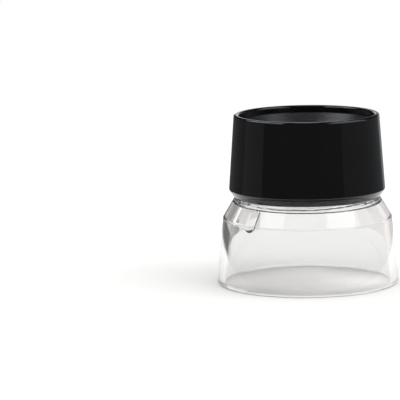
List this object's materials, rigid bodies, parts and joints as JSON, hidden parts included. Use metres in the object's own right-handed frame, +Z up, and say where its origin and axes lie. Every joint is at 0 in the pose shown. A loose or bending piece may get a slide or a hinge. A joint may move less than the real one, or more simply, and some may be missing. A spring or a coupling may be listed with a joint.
{
  "type": "viewing loupe",
  "caption": "Round film viewing loupe: a clear open conical skirt stands on the film, and a black threaded barrel holds the lenses and screws up and down to focus.",
  "frame": {"origin": "centre of the base plane, where the skirt's rim stands on the film", "axes": "+Z up the optical axis, towards the eye; the picture looks along +Y"},
  "size_m": [0.048, 0.048, 0.0446],
  "materials": {
    "clear_acrylic": "polished clear moulded acrylic",
    "black_gloss": "glossy black moulded plastic",
    "black_matte": "matt black moulded plastic",
    "black_textured": "fine spark-textured black plastic",
    "lens": "polished lens"
  },
  "bodies": {
    "skirt": {"clear_skirt": "clear_acrylic"},
    "optics": {"eye_lens": "lens", "lens_spacer": "black_matte", "field_lens": "lens"},
    "barrel": {"grip_sleeve": "black_gloss", "lens_tube": "black_matte", "eye_bezel": "black_textured", "retaining_ring": "black_matte"}
  },
  "joints": [
    {"name": "focus_travel", "type": "slide", "parent": "skirt", "child": "optics", "axis": [0, 0, 1], "range_m": [0, 0.003]},
    {"name": "focus_turn", "type": "hinge", "parent": "optics", "child": "barrel", "pos_m": [0, 0, 0.03], "axis": [0, 0, 1], "range_deg": [0, 300]}
  ],
  "couplings": [
    {"joint": "focus_travel", "follows": "focus_turn", "m_per_rad": 0.00057295}
  ]
}
